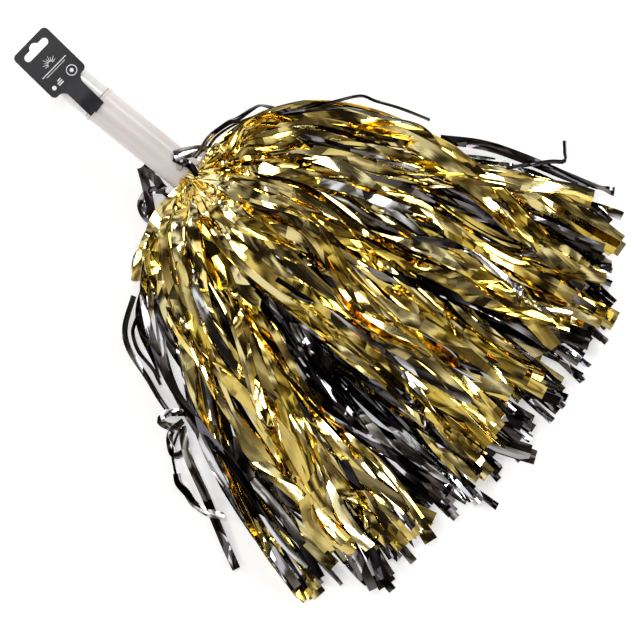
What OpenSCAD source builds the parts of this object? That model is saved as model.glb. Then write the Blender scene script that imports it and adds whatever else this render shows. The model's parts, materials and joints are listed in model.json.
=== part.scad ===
// Cheer pom pom: a stick handle with a fan of gold and black metallised film strands.
// Millimetres. +X runs along the handle towards the strand tips and +Z is up. The pom lies on z = 0.
// The origin is the bottom centre of the whole object's box.

/* [Handle] */
// Outer diameter of the handle tube
tube_d = 28.5; // [26:0.5:30]
// Wall of the handle tube and the end cap
tube_wall = 1.6; // [1.2:0.1:2]
// Length of the tube from the seam to the mouth
tube_len = 91; // [80:1:110]
// Radius of the rolled bead at the seam end of the tube
bead_r = 1.3; // [1:0.1:1.5]
// Length of the end cap outside the tube
cap_len = 36; // [30:1:45]
// Length of the cap's spigot inside the tube
spigot_len = 12; // [8:1:20]

/* [Retaining pin] */
// Diameter of the pin's shank
pin_d = 3.8; // [3:0.1:4.5]
// Diameter of the pin's heads
pin_head_d = 5.6; // [5:0.1:7]
// Distance of the pin behind the mouth
pin_back = 8.5; // [8:0.5:25]
// Roll of the pin away from upright, in degrees
pin_roll = 3; // [0:1:40]

/* [Film headers] */
// Length of the rolled, uncut film inside the tube
header_len = 52; // [40:1:70]
// Diameter of the gold roll
gold_roll_d = 23.2; // [20:0.1:24]
// Diameter of the black roll inside the gold one
black_roll_d = 14; // [10:0.5:16]
// Width of the tape that binds the rolls
tape_w = 15; // [10:1:20]
// Thickness of the tape
tape_t = 0.5; // [0.2:0.1:0.6]

/* [Hang tag] */
// Width of the tag's panel
tag_w = 36; // [30:0.5:38]
// Length of the tag's panel
tag_len = 46.5; // [42:0.5:54]
// Width of the tag's strap
strap_w = 15; // [12:0.5:18]
// Length of the strap from its fold to the panel
strap_len = 28.7; // [26:0.1:34]
// Distance from the seam to the slit where the strap enters the tube
slit_in = 4.2; // [3.6:0.1:8]
// Distance of the strap to the side of the handle's axis
strap_side = 4.3; // [0:0.1:5]
// Thickness of the tag
tag_t = 0.7; // [0.5:0.1:1]
// Corner radius of the panel
tag_corner_r = 4; // [2:0.5:6]
// Angle between the tag and the handle, in degrees
tag_skew = 5.2; // [0:0.1:8]
// Width of the hanging slot
slot_w = 24; // [22:0.5:28]
// Height of the hanging slot's lobes
slot_h = 6.2; // [5.5:0.1:7]
// Distance from the slot's centre to the free edge
slot_edge = 9; // [8.5:0.5:12]

/* [Crown] */
// Radius of the bunched crown round the mouth
crown_r = 56; // [50:1:57]
// Greatest height of the crown
crown_h = 68; // [60:1:80]
// Height of the crown over the mouth
crown_dip_h = 44; // [36:1:56]
// Height where the black strands give way to the gold ones
crown_split_h = 24; // [15:1:28]

/* [Strand locks] */
// Distance from the mouth to each lock's hinge
lock_root = 85; // [84:1:95]
// Length of a lock from its hinge to its tip
lock_len = 266; // [240:1:280]
// Height of a lock at its root
lock_h = 50; // [40:1:50]
// Height of a lock at its tip
lock_tip_h = 24; // [16:1:30]
// Half the width of a lock at its hinge
lock_half_w = 11.8; // [10:0.1:12]
// Angle by which each side of a lock widens, in degrees
lock_flare = 3.3; // [2.6:0.1:3.4]
// Angle round the mouth from one lock's hinge to the next, in degrees
lock_step = 21; // [21:0.5:22]
// Turn from one lock's heading to the next, in degrees
lock_turn = 8.4; // [8:0.1:9]
// Share of a lock's height that is black
black_share = 0.42; // [0.3:0.01:0.5]

/* [Hidden] */
$fn = 96;

gold = "#c9a227";
black = "#1c1d22";
plastic_white = "#ece8e6";
plastic_grey = "#c8c8cc";
pin_grey = "#b9b2ab";
tape_buff = "#d9c9a3";

tube_r = tube_d / 2;
bore_r = tube_r - tube_wall;
bead_axis_r = tube_r - 0.1;             // the bead's centre line
axis_z = bead_axis_r + bead_r;          // the bead rests on the floor
bead_back = bead_r + 0.2;               // from the seam to the bead's centre line

tag_reach = tube_len - slit_in + (strap_len + tag_len) * cos(tag_skew) + tag_w / 2 * sin(tag_skew);
mouth_x = (tag_reach - lock_root - lock_len) / 2;
seam_x = mouth_x - tube_len;
fold_x = seam_x + slit_in;

cap_r = tube_r - 0.1;
cap_round = 3;                          // rounding of the closed end
cap_gap = 0.4;                          // between the seam and the cap's shoulder
ridge_r = cap_r + 0.35;
spigot_r = bore_r - 0.1;
spigot_wall = 2.8;
tail_w = 5;                             // width of the strap's trapped end
tail_z = spigot_r - spigot_wall + 0.2;  // underside of the trapped end above the handle's axis
clear = 0.3;                            // gap between pieces of different bodies
fold_z = axis_z + bead_axis_r + bead_r + clear + tag_t / 2;

hump_r = 4.4;                           // hump in the middle of the hanging slot
hump_shift = 1.6;
fillet_r = 6;                           // inside corners between strap and panel

knuckle_r = lock_h / 2;
middle_lock = 4;
crown_peak_r = 32;                      // distance from the mouth to the crown's ridge
crown_edge_h = 52;
crown_steps = 12;

// A profile drawn as [radius, distance along the handle], turned about the handle's axis
module turned() {
    translate([0, 0, axis_z]) rotate([90, 0, 90]) rotate_extrude() children();
}

// Children stand upright on the handle's axis at x, rolled about it
module across_handle(x, roll) {
    translate([x, 0, axis_z]) rotate([-roll, 0, 0]) children();
}

// Tube with a rolled bead at the seam, a slit for the strap and a cross hole for the pin
module handle_tube() {
    color(plastic_white)
    difference() {
        union() {
            turned() translate([bore_r, seam_x]) square([tube_wall, tube_len]);
            turned() translate([bead_axis_r, seam_x + bead_back]) circle(r = bead_r);
        }
        translate([seam_x - 1, 0, axis_z]) rotate([0, 90, 0]) cylinder(r = bore_r, h = tube_len + 2);
        across_handle(mouth_x - pin_back, pin_roll) cylinder(d = pin_d + 0.2, h = 2 * tube_d, center = true);
        translate([fold_x - tag_t, -strap_side - tail_w / 2 - 0.3, axis_z + tail_z - 1])
            cube([2 * tag_t, tail_w + 0.6, tube_r]);
    }
}

// Closed cap with a spigot in the tube, flattened on top where the strap's end lies
module end_cap() {
    cap_back = seam_x - cap_len;
    color(plastic_grey)
    difference() {
        union() {
            turned() translate([0, cap_back]) {
                translate([0, cap_round]) square([cap_r, cap_len - cap_gap - cap_round]);
                square([cap_r - cap_round, cap_round]);
                translate([cap_r - cap_round, cap_round]) circle(r = cap_round);
            }
            turned() translate([cap_r - 1, seam_x - cap_gap - 1.6]) square([ridge_r - cap_r + 1, 1.6]);
            turned() translate([0, seam_x - cap_gap]) square([spigot_r, cap_gap + spigot_len]);
        }
        turned() translate([0, cap_back + tube_wall]) square([spigot_r - spigot_wall, tube_len]);
        translate([seam_x - cap_gap, -tube_r, axis_z + tail_z - 0.1])
            cube([cap_gap + spigot_len + 1, tube_d, tube_r]);
    }
}

// Pin with a head at each end, through the tube and both rolls of film
module retaining_pin() {
    color(pin_grey)
    across_handle(mouth_x - pin_back, pin_roll) {
        cylinder(d = pin_d, h = tube_d + 1, center = true);
        for (side = [0, 180]) rotate([side, 0, 0]) translate([0, 0, tube_r + 0.05])
            cylinder(d1 = pin_head_d, d2 = pin_head_d - 1.4, h = 0.7);
    }
}

// Uncut edge of the film, rolled into a plug; r1 is the inner radius
module film_roll(r1, r2) {
    difference() {
        turned() translate([r1, mouth_x - header_len]) square([r2 - r1, header_len]);
        across_handle(mouth_x - pin_back, pin_roll) cylinder(d = pin_d + 0.2, h = 2 * tube_d, center = true);
    }
}

module film_header_gold() {
    color(gold) film_roll(black_roll_d / 2 + 0.1, gold_roll_d / 2);
}

module film_header_black() {
    color(black) film_roll(0, black_roll_d / 2);
}

// Tape wound round the gold roll
module binding_tape() {
    color(tape_buff) turned() translate([gold_roll_d / 2 + 0.05, mouth_x - header_len + 8])
        square([tape_t, tape_w]);
}

// End of the tag's strap, down through the slit and trapped between the spigot and the tube
module strap_tail() {
    color(black) translate([fold_x - tag_t / 2, -strap_side - tail_w / 2, axis_z + tail_z]) {
        cube([spigot_len - slit_in, tail_w, tag_t]);
        cube([tag_t, tail_w, fold_z - axis_z - tail_z - tag_t / 2 - clear]);
    }
}

// Outline of the tag, with the fold at the origin and the panel towards -X
module tag_outline() {
    panel_x = -strap_len - tag_len;
    translate([-strap_len - 1, -strap_w / 2]) square([strap_len + 1, strap_w]);
    translate([panel_x, -tag_w / 2 + tag_corner_r]) square([tag_len, tag_w - 2 * tag_corner_r]);
    translate([panel_x + tag_corner_r, -tag_w / 2]) square([tag_len - 2 * tag_corner_r, tag_w]);
    for (x = [panel_x + tag_corner_r, -strap_len - tag_corner_r], side = [-1, 1])
        translate([x, side * (tag_w / 2 - tag_corner_r)]) circle(r = tag_corner_r);
    for (side = [-1, 1]) difference() {
        translate([-strap_len - 1, side * strap_w / 2 - (side < 0 ? fillet_r : 1)])
            square([fillet_r + 1, fillet_r + 1]);
        translate([-strap_len + fillet_r, side * (strap_w / 2 + fillet_r)]) circle(r = fillet_r);
    }
}

// Hanging slot: two round lobes joined by a bar, with a hump towards the free edge
module hang_slot() {
    lobe_y = slot_w / 2 - slot_h / 2;
    translate([-strap_len - tag_len + slot_edge, 0]) {
        for (side = [-1, 1]) translate([0, side * lobe_y]) circle(d = slot_h);
        square([slot_h, 2 * lobe_y], center = true);
        translate([-hump_shift, 0]) circle(r = hump_r);
    }
}

// The printed tag, folded at the slit and lying along the top of the cap
module hang_tag() {
    color(black)
    translate([fold_x, -strap_side, fold_z]) rotate([0, 0, -tag_skew]) {
        translate([0, 0, -tag_t / 2]) linear_extrude(tag_t) difference() {
            tag_outline();
            hang_slot();
        }
        rotate([90, 0, 0]) cylinder(d = tag_t, h = strap_w, center = true);
    }
}

// Height of the crown at radius r from the mouth
function crown_height(r) = r < crown_peak_r
    ? crown_h - (crown_h - crown_dip_h) * pow(1 - r / crown_peak_r, 2)
    : crown_h - (crown_h - crown_edge_h) * pow((r - crown_peak_r) / (crown_r - crown_peak_r), 2);

// Bunched strands in front of the mouth, from z1 up to z2 at most
module crown_layer(z1, z2) {
    intersection() {
        translate([mouth_x, 0, 0]) rotate_extrude() polygon(concat(
            [[crown_r, z1], [0, z1]],
            [for (i = [0:crown_steps]) let (r = crown_r * i / crown_steps) [r, min(z2, crown_height(r))]]
        ));
        translate([mouth_x, -crown_r - 1, 0]) cube([crown_r + 1, 2 * crown_r + 2, crown_h + 1]);
    }
}

module crown_gold() {
    color(gold) crown_layer(crown_split_h, crown_h);
}

module crown_black() {
    color(black) crown_layer(0, crown_split_h);
}

// Children are drawn with the lock's hinge at the origin and its tip towards +X
module at_lock(n) {
    place = (n - middle_lock) * lock_step;
    heading = (n - middle_lock) * lock_turn;
    translate([mouth_x + lock_root * cos(place), lock_root * sin(place), 0])
        rotate([0, 0, heading]) children();
}

// Side view of a lock, extruded across it
module lock_side(points) {
    rotate([90, 0, 0]) linear_extrude(height = 4 * lock_half_w + 80, center = true) polygon(points);
}

// Whole lock: a flared plan, a rounded root about the hinge and a back that falls to the tip
module lock_body() {
    function half_w(x) = lock_half_w + x * tan(lock_flare);
    tip_cut = 12;
    intersection() {
        linear_extrude(lock_h + 1) polygon([
            [-knuckle_r, -half_w(-knuckle_r)], [lock_len - tip_cut, -half_w(lock_len - tip_cut)],
            [lock_len, -half_w(lock_len) / 2], [lock_len, half_w(lock_len) / 2],
            [lock_len - tip_cut, half_w(lock_len - tip_cut)], [-knuckle_r, half_w(-knuckle_r)]
        ]);
        union() {
            translate([0, 0, knuckle_r]) rotate([90, 0, 0]) cylinder(r = knuckle_r, h = 60, center = true);
            lock_side([[0, 0], [lock_len, 0], [lock_len, lock_tip_h], [0, lock_h]]);
        }
    }
}

module black_part() {
    lock_side([[-knuckle_r - 1, -1], [lock_len + 1, -1], [lock_len + 1, black_share * lock_tip_h],
               [-knuckle_r - 1, black_share * lock_h]]);
}

module gold_strands(n) {
    color(gold) at_lock(n) difference() {
        lock_body();
        black_part();
    }
}

module black_strands(n) {
    color(black) at_lock(n) intersection() {
        lock_body();
        black_part();
    }
}

handle_tube();
end_cap();
retaining_pin();
film_header_gold();
film_header_black();
binding_tape();
strap_tail();
hang_tag();
crown_gold();
crown_black();
gold_strands(1);  // gold_strands_1
gold_strands(2);  // gold_strands_2
gold_strands(3);  // gold_strands_3
gold_strands(4);  // gold_strands_4
gold_strands(5);  // gold_strands_5
gold_strands(6);  // gold_strands_6
gold_strands(7);  // gold_strands_7
black_strands(1);  // black_strands_1
black_strands(2);  // black_strands_2
black_strands(3);  // black_strands_3
black_strands(4);  // black_strands_4
black_strands(5);  // black_strands_5
black_strands(6);  // black_strands_6
black_strands(7);  // black_strands_7
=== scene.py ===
"""Cheer pom pom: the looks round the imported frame. Metres; +X runs along the handle to the strand tips."""
import json
import math

import bmesh
import bpy
import numpy as np
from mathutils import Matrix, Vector

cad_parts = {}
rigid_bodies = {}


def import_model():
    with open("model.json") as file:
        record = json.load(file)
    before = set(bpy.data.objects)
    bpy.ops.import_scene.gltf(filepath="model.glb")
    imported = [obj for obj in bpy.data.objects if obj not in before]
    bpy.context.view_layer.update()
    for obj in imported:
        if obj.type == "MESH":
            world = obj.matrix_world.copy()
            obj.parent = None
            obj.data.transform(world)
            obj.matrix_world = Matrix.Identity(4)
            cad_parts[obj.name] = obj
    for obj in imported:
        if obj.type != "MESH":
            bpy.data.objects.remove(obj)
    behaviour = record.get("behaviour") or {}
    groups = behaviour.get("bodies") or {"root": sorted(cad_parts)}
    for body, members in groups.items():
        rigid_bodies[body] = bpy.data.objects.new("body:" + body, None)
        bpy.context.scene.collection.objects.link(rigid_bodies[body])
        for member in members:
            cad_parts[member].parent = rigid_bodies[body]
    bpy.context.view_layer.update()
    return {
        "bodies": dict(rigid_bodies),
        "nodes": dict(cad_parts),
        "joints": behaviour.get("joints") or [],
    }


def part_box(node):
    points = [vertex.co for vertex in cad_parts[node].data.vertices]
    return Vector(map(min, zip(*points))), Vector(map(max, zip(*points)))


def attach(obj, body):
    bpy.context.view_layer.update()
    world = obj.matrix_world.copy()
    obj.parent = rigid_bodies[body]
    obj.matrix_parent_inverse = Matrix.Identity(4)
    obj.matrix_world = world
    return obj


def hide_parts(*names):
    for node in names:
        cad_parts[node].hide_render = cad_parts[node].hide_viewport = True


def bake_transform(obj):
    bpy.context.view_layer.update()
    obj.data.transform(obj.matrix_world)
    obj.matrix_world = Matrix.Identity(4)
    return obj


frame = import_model()

MM = 0.001
UP = np.array([0.0, 0.0, 1.0])

# ---------------------------------------------------------------- places, read from the frame
TUBE_LO, TUBE_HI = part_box("handle_tube")
TAG_LO, TAG_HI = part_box("hang_tag")
MOUTH = np.array([TUBE_HI[0], 0.0, (TUBE_LO[2] + TUBE_HI[2]) / 2])
JOINTS = {j["name"]: j for j in frame["joints"]}
LOCKS = [int(name.split("_")[1]) for name in frame["bodies"] if name.startswith("lock_")]
MIDDLE_LOCK = (min(LOCKS) + max(LOCKS)) / 2
HALF_LOCKS = len(LOCKS) / 2

# ---------------------------------------------------------------- sizes of the film
STRAND_LEN = 352 * MM
GOLD_W = 11.5 * MM
BLACK_W = 7 * MM
FILM_T = 0.12 * MM
STEP = 5 * MM                 # distance between two rows of a strip's mesh
ACROSS = np.array([-1.0, -0.5, 0.0, 0.5, 1.0])      # a row's points, from rim to rim
SQUARE_END = 25 * MM          # a strip's creases stop slanting this near its cut ends
FLAT_GATHER = 0.97            # strips gathered more than this have a sharp fold down the middle
PATCH_SPREAD = np.array([7.3, 91.7])                # metres of pattern across and along to pick from
BUNDLE_R = 9.5 * MM           # radius of the bundle in the mouth
TURN_IN = 8 * MM              # distance over which a strip turns out of the mouth
CURVE_LEN = 110 * MM          # distance over which it swings back to its final heading
FIRST_HEADING = math.radians(95)
CROWN_R = 45 * MM             # strips sway and rise freely from this far out
STEEP_R = 40 * MM             # nearer than this to the mouth a strip may climb more steeply
EDGE = 194 * MM               # strips this far out to the side start to turn forward
EDGE_TAPER = 20 * MM          # and run straight ahead this much further out
LEFT_EXTRA = 26 * MM          # the fan's outermost strips are longer by this, on its left side
RIGHT_EXTRA = 16 * MM         # and on its right side

# The pile's height at distances from the mouth
PILE_R = np.array([0, 10, 22, 36, 55, 90, 150, 230, 300, 360]) * MM
PILE_H = np.array([27, 39, 52, 61, 62, 51, 38, 30, 24, 17]) * MM
FLOOR_GAP = 0.8 * MM          # lowest place of a strip's centreline
RIM_GAP = FLOOR_GAP * 0.4     # and of any other point of it

# Seeds of the random draws; each lock adds its number
LOCK_SEED, STRAY_SEED = 100, 300
CROWN_SEED, CURL_SEED = 77, 400


# ---------------------------------------------------------------- random curves
def smooth_step(t):
    t = np.clip(t, 0, 1)
    return t * t * (3 - 2 * t)


def wander(rng, s, spacing, amount):
    """A smooth random curve along s: spacing is the distance between its turns, amount its spread."""
    knots = np.arange(-1, s[-1] / spacing + 3)
    values = rng.normal(0, amount, len(knots))
    t = s / spacing + rng.uniform(0, 1)
    low = np.floor(t).astype(int)
    mix = smooth_step(t - low)
    return values[low] * (1 - mix) + values[low + 1] * mix


def creased(rng, s, spacing, amount):
    """A random curve of straight stretches along s, and the places where it bends."""
    gaps = rng.uniform(0.45, 1.55, int(s[-1] / spacing) + 4) * spacing
    knots = np.cumsum(gaps) - gaps[0]
    return np.interp(s, knots, rng.normal(0, amount, len(knots))), knots


# ---------------------------------------------------------------- ribbons
def moving_frame(line):
    """Unit vectors along a line: forward, level sideways, and the third one facing up."""
    tangent = np.gradient(line, axis=0)
    tangent /= np.linalg.norm(tangent, axis=1)[:, None]
    side = np.cross(UP, tangent)
    level = np.linalg.norm(side, axis=1)[:, None]
    side = np.where(level > 0.15, side / np.maximum(level, 1e-9), [[0.0, 1.0, 0.0]])
    side -= tangent * (side * tangent).sum(1)[:, None]
    side /= np.linalg.norm(side, axis=1)[:, None]
    return tangent, side, np.cross(tangent, side)


class Ribbons:
    """Collects strips of film and turns them into one mesh piece."""

    def __init__(self, name):
        self.name = name
        self.points, self.uvs, self.rows = [], [], []
        self.fold_rows, self.fold_lines = [], []
        self.area = 0.0

    def add(self, line, width, roll, arch, patch, folds, gather, skew):
        """line is the centreline, patch (0 to 1) picks the strip's part of the film's pattern and folds
        are the distances of its sharp creases. Along its length, roll turns the strip about its
        centreline, arch bows it across, gather folds it in half lengthwise (1 is flat) and skew slants
        its creases."""
        n = len(line)
        tangent, side, face = moving_frame(line)
        across = side * np.cos(roll)[:, None] + face * np.sin(roll)[:, None]
        out = np.cross(tangent, across)
        length = np.concatenate([[0], np.cumsum(np.linalg.norm(np.diff(line, axis=0), axis=1))])
        square_end = smooth_step(np.minimum(length, length[-1] - length) / SQUARE_END)
        slant = across * gather[:, None] + tangent * (skew * square_end)[:, None]
        bow = arch[:, None] * (1 - ACROSS**2) + np.sqrt(1 - gather**2)[:, None] * (1 - np.abs(ACROSS))
        grid = (line[:, None] + slant[:, None] * (ACROSS * width / 2)[None, :, None]
                + out[:, None] * (bow * width / 2)[:, :, None])
        grid[..., 2] = np.maximum(grid[..., 2], RIM_GAP)
        uv = np.stack(np.broadcast_arrays(ACROSS[None] * width / 2, length[:, None]), -1)
        marked = np.zeros(n, bool)
        for place in folds:
            row = int(round(place / STEP))
            if 0 < row < n - 1:
                marked[row] = True
        self.points.append(grid.reshape(-1, 3))
        self.uvs.append((uv + patch * PATCH_SPREAD).reshape(-1, 2))
        self.fold_rows.append(np.repeat(marked, len(ACROSS)))
        self.fold_lines.append((np.abs(ACROSS) < 0.1)[None] & (gather < FLAT_GATHER)[:, None])
        self.rows.append(n)
        self.area += width * length[-1]

    def build(self, material):
        cols = len(ACROSS)
        quads, first = [], 0
        for n in self.rows:
            r, c = np.meshgrid(np.arange(n - 1), np.arange(cols - 1), indexing="ij")
            a = first + r * cols + c
            quads.append(np.stack([a, a + 1, a + cols + 1, a + cols], -1).reshape(-1, 4))
            first += n * cols
        points, quads = np.concatenate(self.points), np.concatenate(quads)
        mesh = bpy.data.meshes.new(self.name)
        mesh.from_pydata(points.tolist(), [], quads.tolist())
        mesh.shade_smooth()
        # Folds and the strip's own rim are sharp edges.
        ends = np.empty(len(mesh.edges) * 2, int)
        mesh.edges.foreach_get("vertices", ends)
        edge_of_corner = np.empty(len(mesh.loops), int)
        mesh.loops.foreach_get("edge_index", edge_of_corner)
        ends = ends.reshape(-1, 2)
        on_row = np.concatenate(self.fold_rows)
        on_line = np.concatenate([lines.ravel() for lines in self.fold_lines])
        gap = np.abs(ends[:, 0] - ends[:, 1])
        sharp = (gap == 1) & on_row[ends].all(1) | (gap == cols) & on_line[ends].all(1)
        sharp |= np.bincount(edge_of_corner, minlength=len(ends)) == 1
        mesh.attributes.new("sharp_edge", "BOOLEAN", "EDGE").data.foreach_set("value", sharp)
        corner = np.empty(len(mesh.loops), int)
        mesh.loops.foreach_get("vertex_index", corner)
        uv = mesh.uv_layers.new(name="Film")
        uv.data.foreach_set("uv", np.concatenate(self.uvs)[corner].astype(np.float32).ravel())
        mesh.materials.append(material)
        piece = bpy.data.objects.new(self.name, mesh)
        bpy.context.scene.collection.objects.link(piece)
        film = piece.modifiers.new("film", "SOLIDIFY")
        film.thickness = FILM_T
        film.offset = 0
        return piece


# ---------------------------------------------------------------- materials
def new_material(name, **sockets):
    """A Principled material with these socket values; returns it, its node tree's tools and the shader."""
    material = bpy.data.materials.new(name)
    material.use_nodes = True
    nodes, links = material.node_tree.nodes, material.node_tree.links
    shader = nodes["Principled BSDF"]
    for socket, value in sockets.items():
        shader.inputs[socket.replace("_", " ")].default_value = value
    return material, nodes, links, shader


def add_node(nodes, kind, **settings):
    node = nodes.new(kind)
    for key, value in settings.items():
        if key in node.inputs:
            node.inputs[key].default_value = value
        else:
            setattr(node, key, value)
    return node


def ramp(nodes, stops):
    node = nodes.new("ShaderNodeValToRGB")
    points = node.color_ramp.elements
    while len(points) < len(stops):
        points.new(0.5)
    for point, (place, colour) in zip(points, stops):
        point.position = place
        point.color = (*colour, 1)
    return node


PLATE_TIP = 0.26              # how far the film's plates tip the normal
FACET_TIP = (0.02, 0.46)      # and its facets, where it is smooth and where it is crumpled


def film_material(name, stops, crumpled, roughness):
    """Metallised film. Long plates of it lie at slightly different angles, and in places it is crumpled
    into small facets. There the base colour is mixed towards the crumpled colour; on the gold film that is
    painted shade, a deeper colour that stands in for the light the facets pass between each other."""
    material, nodes, links, shader = new_material(name, Metallic=1.0)
    uv = add_node(nodes, "ShaderNodeUVMap", uv_map="Film")

    def texture(kind, scale, **settings):
        stretch = add_node(nodes, "ShaderNodeMapping")
        stretch.inputs["Scale"].default_value = (*scale, 1)
        node = add_node(nodes, kind, Scale=1.0, **settings)
        links.new(uv.outputs["UV"], stretch.inputs["Vector"])
        links.new(stretch.outputs["Vector"], node.inputs["Vector"])
        return node

    def remap(value, *limits):
        node = add_node(nodes, "ShaderNodeMapRange")
        for socket, limit in zip(("From Min", "From Max", "To Min", "To Max"), limits):
            node.inputs[socket].default_value = limit
        links.new(value, node.inputs["Value"])
        return node.outputs["Result"]

    def tipped(normal, cells):
        """The normal, tipped its own way in each cell, and the socket that says how far."""
        tip = add_node(nodes, "ShaderNodeVectorMath", operation="MULTIPLY_ADD")
        centred = add_node(nodes, "ShaderNodeVectorMath", operation="SUBTRACT")
        links.new(cells.outputs["Color"], centred.inputs[0])
        centred.inputs[1].default_value = (0.5, 0.5, 0.5)
        links.new(centred.outputs["Vector"], tip.inputs[0])
        links.new(normal, tip.inputs[2])
        return tip.outputs["Vector"], tip.inputs[1]

    # Each scale is in features per metre across and along the strip.
    plates = texture("ShaderNodeTexVoronoi", (48, 14), feature="F1")
    facets = texture("ShaderNodeTexVoronoi", (100, 38), feature="F1")
    crumple = texture("ShaderNodeTexNoise", (32, 13), Detail=2.0)
    wrinkle = texture("ShaderNodeTexNoise", (300, 45), Detail=3.0)

    plate_tone = add_node(nodes, "ShaderNodeSeparateColor")
    links.new(plates.outputs["Color"], plate_tone.inputs["Color"])
    smooth_colour = ramp(nodes, stops)
    links.new(plate_tone.outputs["Red"], smooth_colour.inputs["Fac"])
    # Where the crumple noise is high, the base colour turns to the crumpled colour; on the gold film this is
    # painted shade, a deeper amber in place of light bouncing between crumpled facets.
    colour = add_node(nodes, "ShaderNodeMix", data_type="RGBA")
    links.new(remap(crumple.outputs["Fac"], 0.52, 0.60, 0.0, 1.0), colour.inputs["Factor"])
    links.new(smooth_colour.outputs["Color"], colour.inputs["A"])
    colour.inputs["B"].default_value = (*crumpled, 1)
    links.new(colour.outputs["Result"], shader.inputs["Base Color"])

    surface = add_node(nodes, "ShaderNodeNewGeometry")
    normal, plate_tip = tipped(surface.outputs["Normal"], plates)
    plate_tip.default_value = (PLATE_TIP, PLATE_TIP, PLATE_TIP)
    normal, facet_tip = tipped(normal, facets)
    links.new(remap(crumple.outputs["Fac"], 0.52, 0.66, *FACET_TIP), facet_tip)
    unit = add_node(nodes, "ShaderNodeVectorMath", operation="NORMALIZE")
    links.new(normal, unit.inputs[0])
    bump = add_node(nodes, "ShaderNodeBump", Strength=0.2, Distance=0.5 * MM)
    links.new(wrinkle.outputs["Fac"], bump.inputs["Height"])
    links.new(unit.outputs["Vector"], bump.inputs["Normal"])
    links.new(bump.outputs["Normal"], shader.inputs["Normal"])
    rough = remap(wrinkle.outputs["Fac"], 0.0, 1.0, roughness * 0.6, roughness * 1.5)
    links.new(rough, shader.inputs["Roughness"])
    return material


# The gold film's last colour, the crumpled one, is painted shade: deeper than its plates, for light that
# bounces between crumpled facets.
GOLD = film_material("gold_film", [(0.0, (0.80, 0.58, 0.13)), (0.4, (0.86, 0.69, 0.25)),
                                   (1.0, (0.93, 0.83, 0.46))], (0.74, 0.54, 0.09), 0.08)
BLACK = film_material("black_film", [(0.0, (0.012, 0.011, 0.013)), (0.40, (0.035, 0.032, 0.036)),
                                     (0.53, (0.27, 0.24, 0.25)), (0.74, (0.82, 0.84, 0.88))],
                      (0.12, 0.11, 0.12), 0.06)


def plastic(name, low, high, roughness, scale, stretch=(1, 1, 1), **sockets):
    """Moulded or extruded plastic: two close tones and a faint waviness of the surface. scale is the
    size of both, in features per metre, and stretch draws them out along an axis."""
    material, nodes, links, shader = new_material(name, **sockets)
    place = add_node(nodes, "ShaderNodeTexCoord")
    mapping = add_node(nodes, "ShaderNodeMapping")
    mapping.inputs["Scale"].default_value = stretch
    links.new(place.outputs["Object"], mapping.inputs["Vector"])
    noise = add_node(nodes, "ShaderNodeTexNoise", Scale=scale, Detail=4.0)
    links.new(mapping.outputs["Vector"], noise.inputs["Vector"])
    colour = ramp(nodes, [(0.3, low), (0.7, high)])
    links.new(noise.outputs["Fac"], colour.inputs["Fac"])
    links.new(colour.outputs["Color"], shader.inputs["Base Color"])
    rough = add_node(nodes, "ShaderNodeMapRange")
    rough.inputs["To Min"].default_value = roughness * 0.8
    rough.inputs["To Max"].default_value = roughness * 1.25
    links.new(noise.outputs["Fac"], rough.inputs["Value"])
    links.new(rough.outputs["Result"], shader.inputs["Roughness"])
    height = add_node(nodes, "ShaderNodeBump", Strength=0.05, Distance=0.3 * MM)
    links.new(noise.outputs["Fac"], height.inputs["Height"])
    links.new(height.outputs["Normal"], shader.inputs["Normal"])
    return material


WHITE = plastic("white_plastic", (0.58, 0.535, 0.525), (0.66, 0.61, 0.60), 0.40, 60,
                stretch=(0.12, 1, 1), Subsurface_Weight=0.25, Coat_Weight=0.15)
WHITE.node_tree.nodes["Principled BSDF"].inputs["Subsurface Radius"].default_value = (0.004, 0.003, 0.003)
GREY = plastic("grey_plastic", (0.54, 0.54, 0.54), (0.62, 0.62, 0.61), 0.25, 80, Coat_Weight=0.4)
PIN = plastic("pin_plastic", (0.36, 0.31, 0.28), (0.45, 0.40, 0.37), 0.4, 400)
TAPE = plastic("tape", (0.60, 0.50, 0.34), (0.70, 0.60, 0.42), 0.6, 300)
TAG = plastic("tag_plastic", (0.010, 0.010, 0.012), (0.020, 0.020, 0.024), 0.34, 90, Specular_IOR_Level=0.15)
INK = plastic("white_ink", (0.62, 0.63, 0.65), (0.80, 0.81, 0.83), 0.5, 500)


def dress(name, material):
    """Gives a CAD node its material."""
    node = frame["nodes"][name]
    for slot in node.material_slots:
        slot.link = "OBJECT"
        slot.material = material


for node_name, node_material in {
    "handle_tube": WHITE, "end_cap": GREY, "retaining_pin": PIN, "binding_tape": TAPE,
    "film_header_gold": GOLD, "film_header_black": BLACK, "strap_tail": TAG,
}.items():
    dress(node_name, node_material)


# ---------------------------------------------------------------- strands
def pile_height(r, q):
    """Height of the pile at distance r from the mouth; q is the place across the fan, -1 to 1."""
    return np.interp(r, PILE_R, PILE_H) * (1 - 0.35 * min(abs(q), 1.2) ** 3)


def heading(q, distance):
    """Plan direction of a strip this far from the mouth: out sideways, round the crown, then forward."""
    last = math.radians(10.5 - 2.5 * q) * q       # the fan opens a little further on its right side
    first = FIRST_HEADING * math.copysign(abs(q) ** 0.9, q)
    swing = math.exp(-distance / CURVE_LEN)
    return smooth_step(distance / TURN_IN) * (last + (first - last) * swing)


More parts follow.
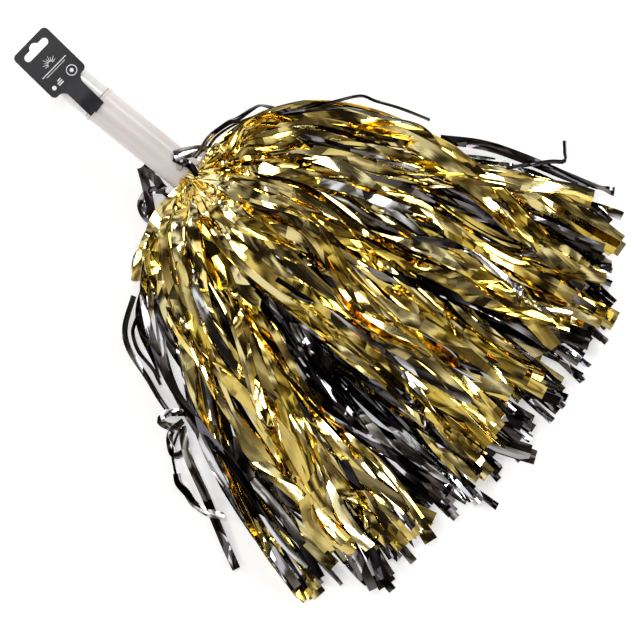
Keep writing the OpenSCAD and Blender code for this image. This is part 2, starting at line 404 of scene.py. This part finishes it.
def strand_line(start, q, layer, length, sway, lift):
    """Centreline of a strip from the mouth to its tip. layer is its place in the pile's height, sway
    turns it sideways and lift raises it; all three are given for each step."""
    at, distance = np.array(start), 0.0
    points = [at]
    for i in range(1, int(length / STEP) + 1):
        r = math.hypot(*(at - MOUTH)[:2])
        away = min(1, r / CROWN_R)
        psi = heading(q, distance) + sway[i] * away
        if psi * at[1] > 0:
            psi *= 1 - smooth_step((abs(at[1]) - EDGE) / EDGE_TAPER)
        wanted = FLOOR_GAP + layer[i] * (pile_height(r + STEP, q) - FLOOR_GAP) + lift[i] * away
        wanted = max(wanted, FLOOR_GAP)
        steep = 0.75 if r < STEEP_R else 0.5
        rise = float(np.clip(wanted - at[2], -steep * STEP, steep * STEP))
        along = math.sqrt(STEP**2 - rise**2)
        at = at + np.array([along * math.cos(psi), along * math.sin(psi), rise])
        distance += along
        points.append(at)
    return np.array(points)


def mouth_point(rng, q):
    """A place in the mouth, on the side a strip leaves by."""
    angle, out = rng.uniform(0, 2 * math.pi), BUNDLE_R * math.sqrt(rng.uniform(0, 1))
    return MOUTH + np.array([-2 * MM, 0.35 * out * math.cos(angle) + 0.6 * BUNDLE_R * math.sin(1.4 * q),
                             0.7 * out * math.sin(angle)])


def slants(rng, s, knots):
    """How much a strip's creases slant, drawn afresh at each of its knots."""
    return np.interp(s, knots, np.clip(rng.normal(0, 0.5, len(knots)), -0.9, 0.9))


# How a bundle wanders, and each strip within it: the distance between two turns, and their spread
SWAY = (85 * MM, math.radians(12))
LIFT = (70 * MM, 3 * MM)
TWIST = (95 * MM, math.radians(24))
DRIFT_SPACING = 75 * MM       # the spread of the strips' drift comes from the bundle's fan
STACK_WANDER = (50 * MM, 0.9 * MM)
OWN_ROLL = (60 * MM, math.radians(14))
FOLDING = (90 * MM, 1.0)
ARCH = (80 * MM, 0.07)
LENGTH_SPREAD = 9 * MM        # between bundles
TIP_SPREAD = 5 * MM           # between the strips of a bundle
STACK_STEP = 1.1 * MM         # height from one strip of a bundle to the next
TURNED_OVER = 0.15            # share of the strips that turn over once
TURN_LEN = 38 * MM            # length in which they do
FOLDED = 0.25                 # share of the strips that are partly folded lengthwise


def add_bundle(ribbons, rng, q, layer, crown_layer, width, count, fan):
    """Strips cut from one stack of sheets: they run, wave and twist together. fan is how far they spread;
    crown_layer and layer are their places in the pile's height, near the mouth and beyond the crown."""
    extra = LEFT_EXTRA if q > 0 else RIGHT_EXTRA
    length = STRAND_LEN + rng.normal(0, LENGTH_SPREAD) + extra * smooth_step((abs(q) - 0.5) / 0.5)
    s = np.arange(0, length + 30 * MM, STEP)
    inward = -math.copysign(math.radians(6), q) * smooth_step((abs(q) - 0.75) / 0.25)
    sway = wander(rng, s, *SWAY) + inward
    lift = wander(rng, s, *LIFT)
    layers = crown_layer + (layer - crown_layer) * smooth_step((s - 50 * MM) / (70 * MM))
    spine = strand_line(mouth_point(rng, q), q, layers, length + 15 * MM, sway, lift)
    s = s[:len(spine)]
    tangent, side, face = moving_frame(spine)
    twist, twist_knots = creased(rng, s, *TWIST)
    across = side * np.cos(twist)[:, None] + face * np.sin(twist)[:, None]
    out = np.cross(tangent, across)
    spread = 0.2 + 0.8 * smooth_step(s / (90 * MM))
    bundle_bias = rng.normal(0, math.radians(12))
    for k in range(count):
        drift, bends = creased(rng, s, DRIFT_SPACING, fan * 0.4)
        slide = (rng.uniform(-1, 1) * fan + drift) * spread
        stack = (k - (count - 1) / 2) * STACK_STEP * spread + wander(rng, s, *STACK_WANDER) * spread
        line = spine + across * slide[:, None] + out * stack[:, None]
        n = int((length + rng.normal(0, TIP_SPREAD)) / STEP)
        own, knots = creased(rng, s, *OWN_ROLL)
        roll = twist + own + bundle_bias
        if rng.uniform() < TURNED_OVER:
            where = rng.uniform(80, 300) * MM
            roll = roll + rng.choice([-1, 1]) * math.pi * smooth_step((s - where) / TURN_LEN)
        skew = slants(rng, s, knots)
        gather = 0.45 + 0.55 * smooth_step(s / (60 * MM))
        if rng.uniform() < FOLDED:
            gather = gather * (1 - 0.25 * smooth_step(wander(rng, s, *FOLDING)))
        own_width = width * rng.uniform(0.94, 1.05)
        arch = wander(rng, s, *ARCH)
        folds = np.concatenate([twist_knots, knots, bends])
        ribbons.add(line[:n], own_width, roll[:n], arch[:n], float(rng.uniform()), folds, gather[:n],
                    skew[:n])


def place_strands(ribbons, n, kind, material):
    piece = ribbons.build(material)
    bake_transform(piece)
    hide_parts(f"{kind}_strands_{n}")


BLACK_RISE = {4: 0.05, 5: 0.1, 7: 0.15}     # locks whose black strips come up higher
LOCK_SPAN = 0.30                            # a lock's width, where the whole fan is 2 wide
SINGLE_REACH = 0.14                         # single strips lie up to this far from its middle
BLACK_SPAN = 0.94                           # the black strips fan out a little less than the gold ones
BUNDLES = 3                                 # in each lock, of each colour
GOLD_IN_BUNDLE, BLACK_IN_BUNDLE = 8, 6
GOLD_SINGLES, BLACK_SINGLES = 4, 3
BASE_STRIPS = 14                            # black strips spread evenly along the floor
TOP_LAYERS = (0.80, 1.02)                   # the single strips lie on top of the pile


def spread_out(rng, centre, index, count):
    """Place across the fan of one of count strips or bundles that share a lock evenly."""
    return centre + ((index + rng.uniform()) / count - 0.5) * LOCK_SPAN


for lock in LOCKS:
    rng = np.random.default_rng(LOCK_SEED + lock)
    centre = (lock - MIDDLE_LOCK) / HALF_LOCKS
    gold, black = Ribbons(f"gold_strips_{lock}"), Ribbons(f"black_strips_{lock}")
    for i in range(BUNDLES):
        q = spread_out(rng, centre, i, BUNDLES)
        layer = rng.uniform(0.58, 1.0)
        add_bundle(gold, rng, q, layer, 0.3 + 0.7 * layer, GOLD_W, GOLD_IN_BUNDLE, rng.uniform(5, 9) * MM)
    for _ in range(GOLD_SINGLES):
        layer = rng.uniform(*TOP_LAYERS)
        q = centre + rng.uniform(-SINGLE_REACH, SINGLE_REACH)
        add_bundle(gold, rng, q, layer, layer, GOLD_W, 1, 0)
    for i in range(BASE_STRIPS):
        q = BLACK_SPAN * spread_out(rng, centre, i, BASE_STRIPS)
        add_bundle(black, rng, q, rng.uniform(0.02, 0.35), 0.1, BLACK_W, 1, 0)
    for i in range(BUNDLES):
        q = BLACK_SPAN * spread_out(rng, centre, i, BUNDLES)
        layer = min(rng.uniform(0.22, 0.82) + BLACK_RISE.get(lock, 0), 0.97)
        add_bundle(black, rng, q, layer, 0.6 * layer, BLACK_W, BLACK_IN_BUNDLE, rng.uniform(4, 7) * MM)
    for _ in range(BLACK_SINGLES):
        layer = rng.uniform(*TOP_LAYERS)
        q = centre + rng.uniform(-SINGLE_REACH, SINGLE_REACH)
        add_bundle(black, rng, q, layer, 0.6 * layer, BLACK_W, 1, 0)
    place_strands(gold, lock, "gold", GOLD)
    place_strands(black, lock, "black", BLACK)


# ---------------------------------------------------------------- crown
# As for the bundles: the distance between two turns, and their spread
CROWN_SWAY = (50 * MM, math.radians(17))
CROWN_LIFT = (34 * MM, 3 * MM)
CROWN_ROLL = (44 * MM, math.radians(26))
CROWN_ARCH = (50 * MM, 0.12)


def crown_strip(ribbons, rng, width, top):
    """A short crumpled strip that rises from the mouth, follows the strands and tucks in under them."""
    length = rng.uniform(80, 175) * MM
    s = np.arange(0, length + 20 * MM, STEP)
    sway = wander(rng, s, *CROWN_SWAY)
    lift, knots = creased(rng, s, *CROWN_LIFT)
    layer = top * (1 - 0.6 * smooth_step((s / length - 0.55) / 0.45))
    q = rng.uniform(-1.0, 1.0)
    line = strand_line(mouth_point(rng, q), q, layer, length, sway, lift)
    n = len(line)
    roll, roll_knots = creased(rng, s, *CROWN_ROLL)
    skew = slants(rng, s, roll_knots)
    gather = 0.55 + 0.45 * smooth_step(s / (40 * MM))
    arch = wander(rng, s, *CROWN_ARCH)
    folds = np.concatenate([knots, roll_knots])
    ribbons.add(line, width, roll[:n], arch[:n], float(rng.uniform()), folds, gather[:n], skew[:n])


rng = np.random.default_rng(CROWN_SEED)
for kind, material, width, count, layers in (("gold", GOLD, GOLD_W, 60, (0.8, 1.04)),
                                             ("black", BLACK, BLACK_W, 26, (0.3, 0.9))):
    crown = Ribbons(f"{kind}_crown")
    for _ in range(count):
        crown_strip(crown, rng, width, rng.uniform(*layers))
    piece = crown.build(material)
    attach(piece, "handle")
    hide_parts(f"crown_{kind}")


# ---------------------------------------------------------------- stray strips
# Each: width, and its route from a point on the floor under the mouth, all in millimetres
UPPER_STRAYS = [
    (4, [(-4, 14, 32), (-4, 26, 40), (-4, 35, 44), (0, 50, 46), (4, 58, 44), (6, 65, 42), (8, 72, 40),
         (10, 77, 38), (14, 80, 34), (20, 83, 30)]),
    (2.5, [(2, 16, 30), (0, 38, 44), (12, 66, 48), (36, 94, 44), (52, 114, 40), (66, 132, 38), (78, 137, 34),
           (96, 145, 28), (120, 153, 22)]),
    (2.5, [(6, 20, 34), (8, 46, 46), (20, 72, 44), (44, 99, 38), (64, 118, 34), (92, 132, 30), (116, 144, 24),
           (136, 144, 20)]),
    (8, [(136, 146, 26), (166, 164, 30), (200, 177, 24), (236, 188, 20), (268, 201, 14)]),
    (3.5, [(190, 161, 26), (202, 174, 28), (214, 187, 26), (222, 194, 24), (218, 200, 23), (212, 207, 22)]),
]
LOWER_STRAYS = [
    (6, [(10, -36, 24), (18, -56, 26), (20, -68, 22), (28, -88, 16), (36, -106, 10), (48, -118, 6),
         (70, -130, 4), (82, -138, 3)]),
    (3, [(30, -88, 20), (36, -102, 16), (40, -116, 12), (44, -124, 8), (56, -132, 5), (74, -136, 3),
         (86, -142, 3)]),
    (4.5, [(26, -100, 14), (36, -124, 8), (50, -136, 4), (74, -144, 3), (90, -150, 3), (104, -154, 6)]),
    (6, [(120, -142, 12), (110, -150, 14), (104, -156, 10), (104, -164, 5), (112, -163, 3), (118, -158, 5)]),
    (6, [(118, -152, 12), (116, -164, 10), (120, -172, 5), (130, -178, 3), (136, -166, 4)]),
    (2, [(120, -160, 6), (126, -176, 4), (136, -186, 3), (144, -192, 3)]),
    (6, [(140, -188, 5), (146, -193, 5), (156, -195, 4), (166, -198, 3), (180, -196, 5), (190, -190, 8)]),
    (7, [(120, -156, 12), (136, -170, 10), (154, -180, 8), (168, -187, 6), (184, -196, 4), (206, -208, 3),
         (224, -217, 3)]),
]
MOUTH_CURLS = [
    (9, [(10, 28, 38), (-2, 22, 34), (-8, 17, 32), (-13, 11, 31), (-17, 5, 31)]),
    (7, [(-17, 4, 31), (-9, 6, 32), (-2, 7, 34), (8, 5, 40)]),
    (7, [(-33, -18, 12), (-23, -25, 15), (-14, -32, 17), (-2, -42, 18), (8, -48, 15), (14, -60, 9),
         (18, -72, 4)]),
    (7, [(-33, -17, 13), (-18, -18, 20), (-10, -20, 23), (2, -20, 25), (9, -12, 28)]),
    (7, [(-6, -20, 24), (-14, -26, 19), (-17, -34, 12), (-14, -42, 8), (-4, -46, 10), (3, -42, 18),
         (6, -32, 27), (8, -18, 33), (10, -4, 38)]),
    (6, [(4, -42, 16), (8, -58, 12), (8, -74, 7), (12, -82, 4), (20, -90, 3)]),
]


STRAY_STEP = STEP / 2         # distance between two rows of a stray strip's mesh
STRAY_ROLL = (30 * MM, math.radians(22))
STRAY_ARCH = (40 * MM, 0.2)
CURVE_SAMPLES = 24            # between two points of a route


def route(points):
    """A smooth curve through points given in millimetres, with even steps, and the distance along it."""
    p = np.array(points, float) * MM + [MOUTH[0], 0, 0]
    p = np.concatenate([[2 * p[0] - p[1]], p, [2 * p[-1] - p[-2]]])
    t = np.linspace(0, 1, CURVE_SAMPLES, endpoint=False)[:, None]
    parts = [0.5 * (2 * b + (c - a) * t + (2 * a - 5 * b + 4 * c - d) * t**2 + (3 * b - a - 3 * c + d) * t**3)
             for a, b, c, d in zip(p[:-3], p[1:-2], p[2:-1], p[3:])]
    curve = np.concatenate(parts + [p[-2:-1]])
    length = np.concatenate([[0], np.cumsum(np.linalg.norm(np.diff(curve, axis=0), axis=1))])
    even = np.linspace(0, length[-1], max(int(length[-1] / STRAY_STEP), 8))
    return np.stack([np.interp(even, length, curve[:, i]) for i in range(3)], -1), even


def stray_strips(name, strips, seed):
    """One piece of black strips that follow their own routes."""
    rng = np.random.default_rng(seed)
    ribbons = Ribbons(name)
    for width, points in strips:
        line, s = route(points)
        roll, knots = creased(rng, s, *STRAY_ROLL)
        flat = np.ones(len(s))
        arch = wander(rng, s, *STRAY_ARCH)
        folds = knots * (STEP / STRAY_STEP)       # the ribbon counts its rows in whole steps
        ribbons.add(line, width * MM, roll, arch, float(rng.uniform()), folds, flat, 0 * flat)
    piece = ribbons.build(BLACK)
    return piece


for name, lock, strips in (("upper_strays", max(LOCKS), UPPER_STRAYS),
                           ("lower_strays", min(LOCKS), LOWER_STRAYS)):
    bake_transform(stray_strips(name, strips, STRAY_SEED + lock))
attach(stray_strips("mouth_curls", MOUTH_CURLS, CURL_SEED), "handle")


# ---------------------------------------------------------------- hang tag
FOLD = np.array(JOINTS["tag_flap"]["pos_m"])
TAG_AXIS = np.array([-JOINTS["tag_flap"]["axis"][1], JOINTS["tag_flap"]["axis"][0], 0.0])   # to its free end
TAG_ACROSS = np.cross(UP, TAG_AXIS)
TAG_T = TAG_HI[2] - TAG_LO[2]
TAG_LEN = 75.2 * MM           # from the fold to the panel's free edge
STRAP_LEN = 28.7 * MM         # from the fold to the panel
STRAP_BULGE = 1.3 * MM        # the strap arches up by this
PANEL_DROOP = 1.5 * MM        # the panel's free edge hangs down by this
DROOP_START = 38 * MM         # from this far out
TAG_CUTS = 31                 # lengths that the tag is cut into, so that it can bend
INK_LIFT = 0.03 * MM          # the marks' height above the tag
RING_STEPS = 28
RAYS = 9


def tag_bend(s):
    """How far the tag stands above its flat place, at distance s from the fold."""
    bulge = STRAP_BULGE * math.sin(math.pi * min(max(s / STRAP_LEN, 0), 1)) ** 2
    fall = max(s - DROOP_START, 0) / (TAG_LEN - DROOP_START)
    return bulge - PANEL_DROOP * fall**2


def bend_tag(mesh):
    """Lifts each point of the tag by what the strap's bend does there."""
    for v in mesh.vertices:
        s = (np.array(v.co) - FOLD) @ TAG_AXIS
        v.co.z += tag_bend(s)


def make_tag():
    """The CAD tag's own outline, cut finely along its length and bent as the strap bends."""
    bm = bmesh.new()
    bm.from_mesh(frame["nodes"]["hang_tag"].data)
    bmesh.ops.remove_doubles(bm, verts=bm.verts, dist=0.01 * MM)
    bmesh.ops.dissolve_limit(bm, angle_limit=math.radians(1), verts=bm.verts, edges=bm.edges)
    edges = [e for e in bm.edges if len(e.link_faces) == 2 and e.calc_face_angle() > math.radians(60)]
    bmesh.ops.bevel(bm, geom=edges, offset=0.15 * MM, segments=2, affect="EDGES")
    for i in range(1, TAG_CUTS):
        bmesh.ops.bisect_plane(bm, geom=[*bm.verts, *bm.edges, *bm.faces], dist=1e-6,
                               plane_co=FOLD + TAG_AXIS * TAG_LEN * i / TAG_CUTS, plane_no=TAG_AXIS)
    mesh = bpy.data.meshes.new("tag_panel")
    bm.to_mesh(mesh)
    bm.free()
    bend_tag(mesh)
    mesh.materials.clear()
    mesh.materials.append(TAG)
    piece = bpy.data.objects.new("tag_panel", mesh)
    bpy.context.scene.collection.objects.link(piece)
    mesh.shade_smooth()
    smooth = piece.modifiers.new("edges", "WEIGHTED_NORMAL")
    smooth.keep_sharp = True
    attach(piece, "tag")
    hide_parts("hang_tag")


def ring(radius, inner, at):
    """Outer and inner loop of a flat ring on the tag."""
    turn = [2 * math.pi * i / RING_STEPS for i in range(RING_STEPS)]
    return [[(at[0] + r * math.cos(a), at[1] + r * math.sin(a)) for a in turn] for r in (radius, inner)]


def make_marks():
    """Plain printed marks in place of the real print: a burst of rays, two lines, a block of bars, a dot
    and a ring. Their places are distances from the fold and from the tag's middle line."""
    shapes = []

    def bar(s0, s1, w0, w1):
        shapes.append([(s0 * MM, w0 * MM), (s1 * MM, w0 * MM), (s1 * MM, w1 * MM), (s0 * MM, w1 * MM)])

    for i in range(RAYS):
        a = math.radians(-80 + 160 / (RAYS - 1) * i)
        ca, sa = math.cos(a), math.sin(a)
        r0, r1, half = 2.2 * MM, (7.0 if i % 2 else 5.6) * MM, 0.28 * MM
        shapes.append([(50 * MM + r * ca + w * sa, r * sa - w * ca)
                       for r, w in ((r0, -half), (r1, -half * 0.4), (r1, half * 0.4), (r0, half))])
    bar(46.4, 47.1, -13, 13)
    bar(44.6, 45.0, -10, 10)
    for s0, w1 in ((33.4, 7.5), (35.1, 7.5), (36.8, 6.0)):
        bar(s0, s0 + 0.9, 2.5, w1)
    outer, inner = ring(4.4 * MM, 3.8 * MM, (35.4 * MM, -8 * MM))
    dots = [ring(1.6 * MM, 0, (35.4 * MM, -8 * MM))[0], ring(1.8 * MM, 0, (35.2 * MM, 11.5 * MM))[0]]
    bm = bmesh.new()

    def on_tag(s, w):
        p = FOLD + TAG_AXIS * s + TAG_ACROSS * w
        return bm.verts.new((p[0], p[1], FOLD[2] + TAG_T / 2 + INK_LIFT + tag_bend(s)))

    for shape in [*shapes, *dots]:
        bm.faces.new([on_tag(*p) for p in shape])
    rim, hole = [[on_tag(*p) for p in loop] for loop in (outer, inner)]
    for i in range(RING_STEPS):
        j = (i + 1) % RING_STEPS
        bm.faces.new([rim[i], rim[j], hole[j], hole[i]])
    bmesh.ops.recalc_face_normals(bm, faces=bm.faces)
    mesh = bpy.data.meshes.new("tag_marks")
    bm.to_mesh(mesh)
    bm.free()
    mesh.materials.append(INK)
    piece = bpy.data.objects.new("tag_marks", mesh)
    bpy.context.scene.collection.objects.link(piece)
    ink = piece.modifiers.new("ink", "SOLIDIFY")
    ink.thickness = 0.04 * MM
    ink.offset = 0
    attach(piece, "tag")


make_tag()
make_marks()

# ---------------------------------------------------------------- floor, light and camera
bpy.ops.mesh.primitive_plane_add(size=12)
floor = bpy.context.object
floor.name = "floor"
floor_material = new_material("floor", Base_Color=(0.80, 0.80, 0.80, 1), Roughness=0.9,
                              Emission_Color=(1, 1, 1, 1), Emission_Strength=0.35)[0]
floor.data.materials.append(floor_material)


def soft_box(name, at, size, power):
    """A rectangular lamp that faces the object; size in metres and power in watts."""
    lamp = bpy.data.lights.new(name, "AREA")
    lamp.shape = "RECTANGLE"
    lamp.size, lamp.size_y = size
    lamp.energy = power
    box = bpy.data.objects.new(name, lamp)
    bpy.context.scene.collection.objects.link(box)
    box.location = at
    box.rotation_euler = Vector(at).to_track_quat("Z", "Y").to_euler()


soft_box("left_box", (-0.3, 1.7, 0.85), (1.4, 0.45), 20)
soft_box("right_box", (1.5, 0.95, 0.8), (1.1, 0.4), 15)
soft_box("front_box", (0.3, -1.8, 0.9), (1.4, 0.45), 12)
soft_box("back_box", (-1.4, -1.0, 0.8), (1.0, 0.4), 9)
soft_box("top_box", (-0.85, 0.1, 2.2), (0.8, 1.1), 16)

# Around the object is a dark studio with pale panels, which the film mirrors; the camera sees plain white.
world = bpy.data.worlds.new("studio")
bpy.context.scene.world = world
world.use_nodes = True
sky, sky_links = world.node_tree.nodes, world.node_tree.links
direction = add_node(sky, "ShaderNodeTexCoord")
patches = add_node(sky, "ShaderNodeTexNoise", Scale=2.3, Detail=1.0)
sky_links.new(direction.outputs["Generated"], patches.inputs["Vector"])
panels = ramp(sky, [(0.42, (0.014, 0.011, 0.008)), (0.49, (0.10, 0.082, 0.062)), (0.55, (0.30, 0.275, 0.23)),
                    (0.64, (0.90, 0.89, 0.87))])
sky_links.new(patches.outputs["Fac"], panels.inputs["Fac"])
light_path = add_node(sky, "ShaderNodeLightPath")
plain = add_node(sky, "ShaderNodeMix", data_type="RGBA")
plain.inputs["B"].default_value = (0.9, 0.9, 0.9, 1)
sky_links.new(light_path.outputs["Is Camera Ray"], plain.inputs["Factor"])
sky_links.new(panels.outputs["Color"], plain.inputs["A"])
sky_links.new(plain.outputs["Result"], sky["Background"].inputs["Color"])

VIEW_TURN = math.radians(39)
CAMERA_DISTANCE = 2.2         # above the height that the field is measured at
FIELD = 0.499                 # width of the picture, in metres at that height
FIELD_HEIGHT = 30 * MM
VIEW_AHEAD = 148.9 * MM       # the picture's middle, from the mouth
VIEW_SIDE = -19.4 * MM
SENSOR = 36
camera_data = bpy.data.cameras.new("camera")
camera_data.sensor_width = SENSOR
camera_data.lens = SENSOR * CAMERA_DISTANCE / FIELD
camera = bpy.data.objects.new("camera", camera_data)
bpy.context.scene.collection.objects.link(camera)
camera.location = (MOUTH[0] + VIEW_AHEAD, VIEW_SIDE, CAMERA_DISTANCE + FIELD_HEIGHT)
camera.rotation_euler = (0, 0, VIEW_TURN)
bpy.context.scene.camera = camera
bpy.context.scene.view_settings.view_transform = "Standard"
